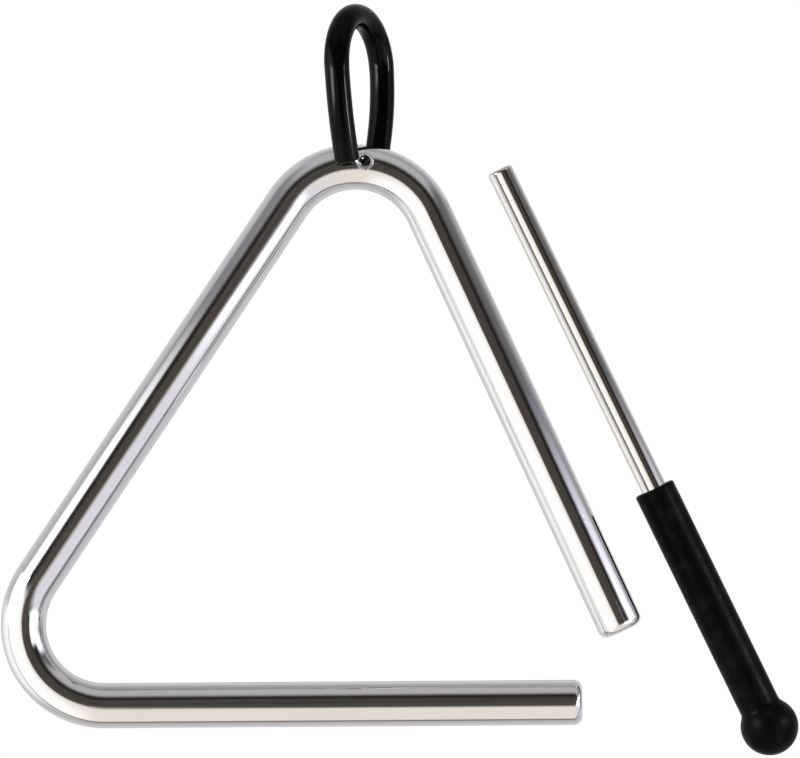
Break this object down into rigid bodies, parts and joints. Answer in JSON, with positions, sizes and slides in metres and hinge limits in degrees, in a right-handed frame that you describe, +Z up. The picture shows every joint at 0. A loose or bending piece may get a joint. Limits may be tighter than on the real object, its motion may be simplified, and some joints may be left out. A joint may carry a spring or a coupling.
{
  "type": "triangle instrument",
  "caption": "Bent chrome bar triangle hung by its top bend from a black rubber finger loop, with a chrome beater that has a black ball-ended grip.",
  "frame": {"origin": "top of the finger loop's opening, on the loop's inner face, where it rests on the finger or hook that holds it", "axes": "+Z up, +Y away from the player through the bar's cross hole, +X to the right along the bottom side"},
  "size_m": [0.1782, 0.0323, 0.168],
  "materials": {
    "bar_chrome": "bright chrome plate",
    "loop_rubber": "glossy black rubber tube",
    "clear_nylon": "clear nylon line",
    "ferrule_metal": "crimped plain metal",
    "beater_chrome": "bright chrome plate",
    "grip_rubber": "satin black rubber"
  },
  "bodies": {
    "hanger": {"hanger_sleeve": "loop_rubber", "hanger_line": "clear_nylon", "line_ferrule": "ferrule_metal"},
    "triangle": {"triangle_rod": "bar_chrome"},
    "beater": {"beater_rod": "beater_chrome", "beater_grip": "grip_rubber"}
  },
  "joints": [
    {"name": "triangle_swing", "type": "hinge", "parent": "hanger", "child": "triangle", "pos_m": [0.00171, 0, -0.0296], "axis": [0, 1, 0], "range_deg": [-120, 105]},
    {"name": "beater_strike", "type": "hinge", "parent": "hanger", "child": "beater", "pos_m": [0.07954, 0.0125, -0.12924], "axis": [0.2024, -0.9744, 0.0983], "range_deg": [-25, 10]}
  ]
}
